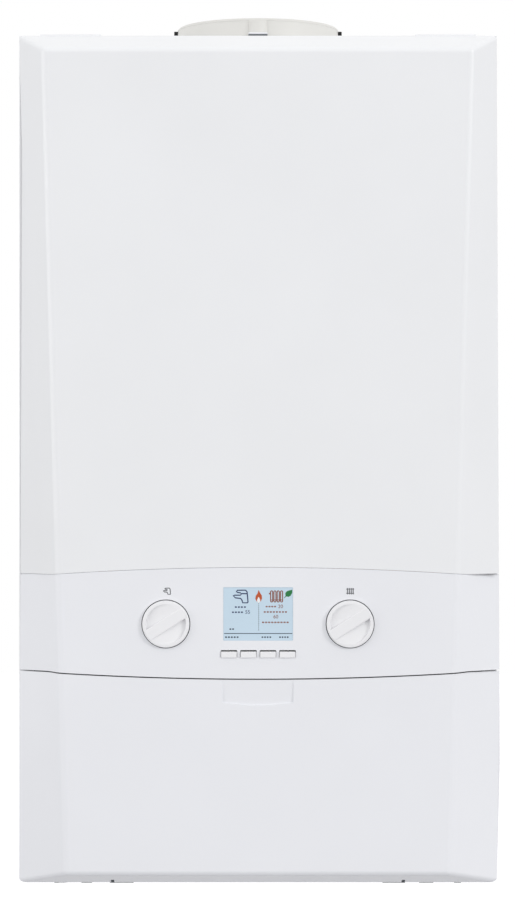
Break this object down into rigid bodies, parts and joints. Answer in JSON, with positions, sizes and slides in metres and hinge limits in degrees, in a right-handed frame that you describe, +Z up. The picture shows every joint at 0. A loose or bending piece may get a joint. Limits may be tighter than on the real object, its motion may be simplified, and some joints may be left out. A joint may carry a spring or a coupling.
{
  "type": "combi boiler",
  "caption": "Wall-hung combi boiler: white bevelled casing with tilting cover, control panel with knobs, keys and display, drop-down door, flue collar and its working parts inside.",
  "frame": {"origin": "centre of the wall bracket's rear face, where the boiler hangs on the wall", "axes": "+Z up, +Y into the wall, front of the casing towards -Y, +X to the right seen from the front"},
  "size_m": [0.395, 0.2822, 0.755],
  "materials": {
    "white_paint": "satin",
    "white_plastic": "satin",
    "flue_plastic": "satin",
    "rubber": "matte",
    "zinc_sheet": "satin",
    "stainless": "satin",
    "cast_aluminium": "cast",
    "brass": "satin",
    "copper": "satin",
    "black_plastic": "matte",
    "grey_plastic": "matte",
    "red_paint": "satin",
    "board": "satin",
    "ceramic": "glazed",
    "screen": "glossy"
  },
  "bodies": {
    "chassis": {"back_panel": "zinc_sheet", "left_side_panel": "white_paint", "right_side_panel": "white_paint", "top_panel": "white_paint", "bottom_tray": "zinc_sheet", "wall_bracket": "zinc_sheet", "pod_rail": "zinc_sheet", "door_hinge_rod": "stainless", "left_panel_pin": "stainless", "right_panel_pin": "stainless", "flue_collar": "flue_plastic", "flue_seal": "rubber", "flue_duct": "flue_plastic", "sampling_cap": "rubber", "heat_exchanger": "cast_aluminium", "burner": "stainless", "burner_door": "cast_aluminium", "ignition_electrode": "ceramic", "flame_electrode": "ceramic", "condensate_sump": "black_plastic", "condensate_pipe": "grey_plastic", "condensate_trap": "grey_plastic", "fan_housing": "black_plastic", "fan_motor": "black_plastic", "mixture_duct": "cast_aluminium", "venturi": "cast_aluminium", "gas_valve": "cast_aluminium", "gas_pipe": "copper", "gas_supply_pipe": "copper", "expansion_vessel": "red_paint", "expansion_hose": "stainless", "return_manifold": "grey_plastic", "flow_manifold": "grey_plastic", "plate_heat_exchanger": "stainless", "pump_body": "grey_plastic", "pump_motor": "black_plastic", "return_pipe": "copper", "flow_pipe": "copper", "diverter_actuator": "black_plastic", "relief_valve": "brass", "auto_air_vent": "brass"},
    "front_cover": {"front_cover": "white_paint"},
    "lower_door": {"lower_door": "white_plastic"},
    "control_panel": {"control_fascia": "white_plastic", "control_box": "grey_plastic", "control_box_cover": "grey_plastic", "control_circuit_board": "board", "display_module": "black_plastic", "display_lens": "screen"},
    "left_knob": {"left_knob": "white_plastic", "left_knob_spindle": "stainless"},
    "right_knob": {"right_knob": "white_plastic", "right_knob_spindle": "stainless"},
    "soft_key_1": {"soft_key_1": "white_plastic"},
    "soft_key_2": {"soft_key_2": "white_plastic"},
    "soft_key_3": {"soft_key_3": "white_plastic"},
    "soft_key_4": {"soft_key_4": "white_plastic"},
    "fan_impeller": {"fan_impeller": "grey_plastic"},
    "pump_impeller": {"pump_impeller": "grey_plastic"}
  },
  "joints": [
    {"name": "cover_tilt", "type": "hinge", "parent": "chassis", "child": "front_cover", "pos_m": [0, -0.236, 0.0603], "axis": [-1, 0, 0], "range_deg": [0, 28]},
    {"name": "door_drop", "type": "hinge", "parent": "chassis", "child": "lower_door", "pos_m": [0, -0.256, -0.632], "axis": [1, 0, 0], "range_deg": [0, 88]},
    {"name": "panel_swing", "type": "hinge", "parent": "chassis", "child": "control_panel", "pos_m": [0, -0.2742, -0.4562], "axis": [1, 0, 0], "range_deg": [0, 85]},
    {"name": "left_knob_turn", "type": "hinge", "parent": "control_panel", "child": "left_knob", "pos_m": [-0.0753, -0.278, -0.4248], "axis": [0, 1, 0], "range_deg": [-207, 93]},
    {"name": "right_knob_turn", "type": "hinge", "parent": "control_panel", "child": "right_knob", "pos_m": [0.0753, -0.278, -0.4248], "axis": [0, 1, 0], "range_deg": [-207, 93]},
    {"name": "key_1_press", "type": "slide", "parent": "control_panel", "child": "soft_key_1", "axis": [0, 1, 0], "range_m": [0, 0.001], "stiffness_N_per_m": 800, "springref_m": -0.0005},
    {"name": "key_2_press", "type": "slide", "parent": "control_panel", "child": "soft_key_2", "axis": [0, 1, 0], "range_m": [0, 0.001], "stiffness_N_per_m": 800, "springref_m": -0.0005},
    {"name": "key_3_press", "type": "slide", "parent": "control_panel", "child": "soft_key_3", "axis": [0, 1, 0], "range_m": [0, 0.001], "stiffness_N_per_m": 800, "springref_m": -0.0005},
    {"name": "key_4_press", "type": "slide", "parent": "control_panel", "child": "soft_key_4", "axis": [0, 1, 0], "range_m": [0, 0.001], "stiffness_N_per_m": 800, "springref_m": -0.0005},
    {"name": "fan_spin", "type": "hinge", "parent": "chassis", "child": "fan_impeller", "pos_m": [0.118, -0.15, -0.036], "axis": [0, 0, 1], "continuous": true},
    {"name": "pump_spin", "type": "hinge", "parent": "chassis", "child": "pump_impeller", "pos_m": [0.122, -0.105, -0.475], "axis": [0, 1, 0], "continuous": true}
  ]
}
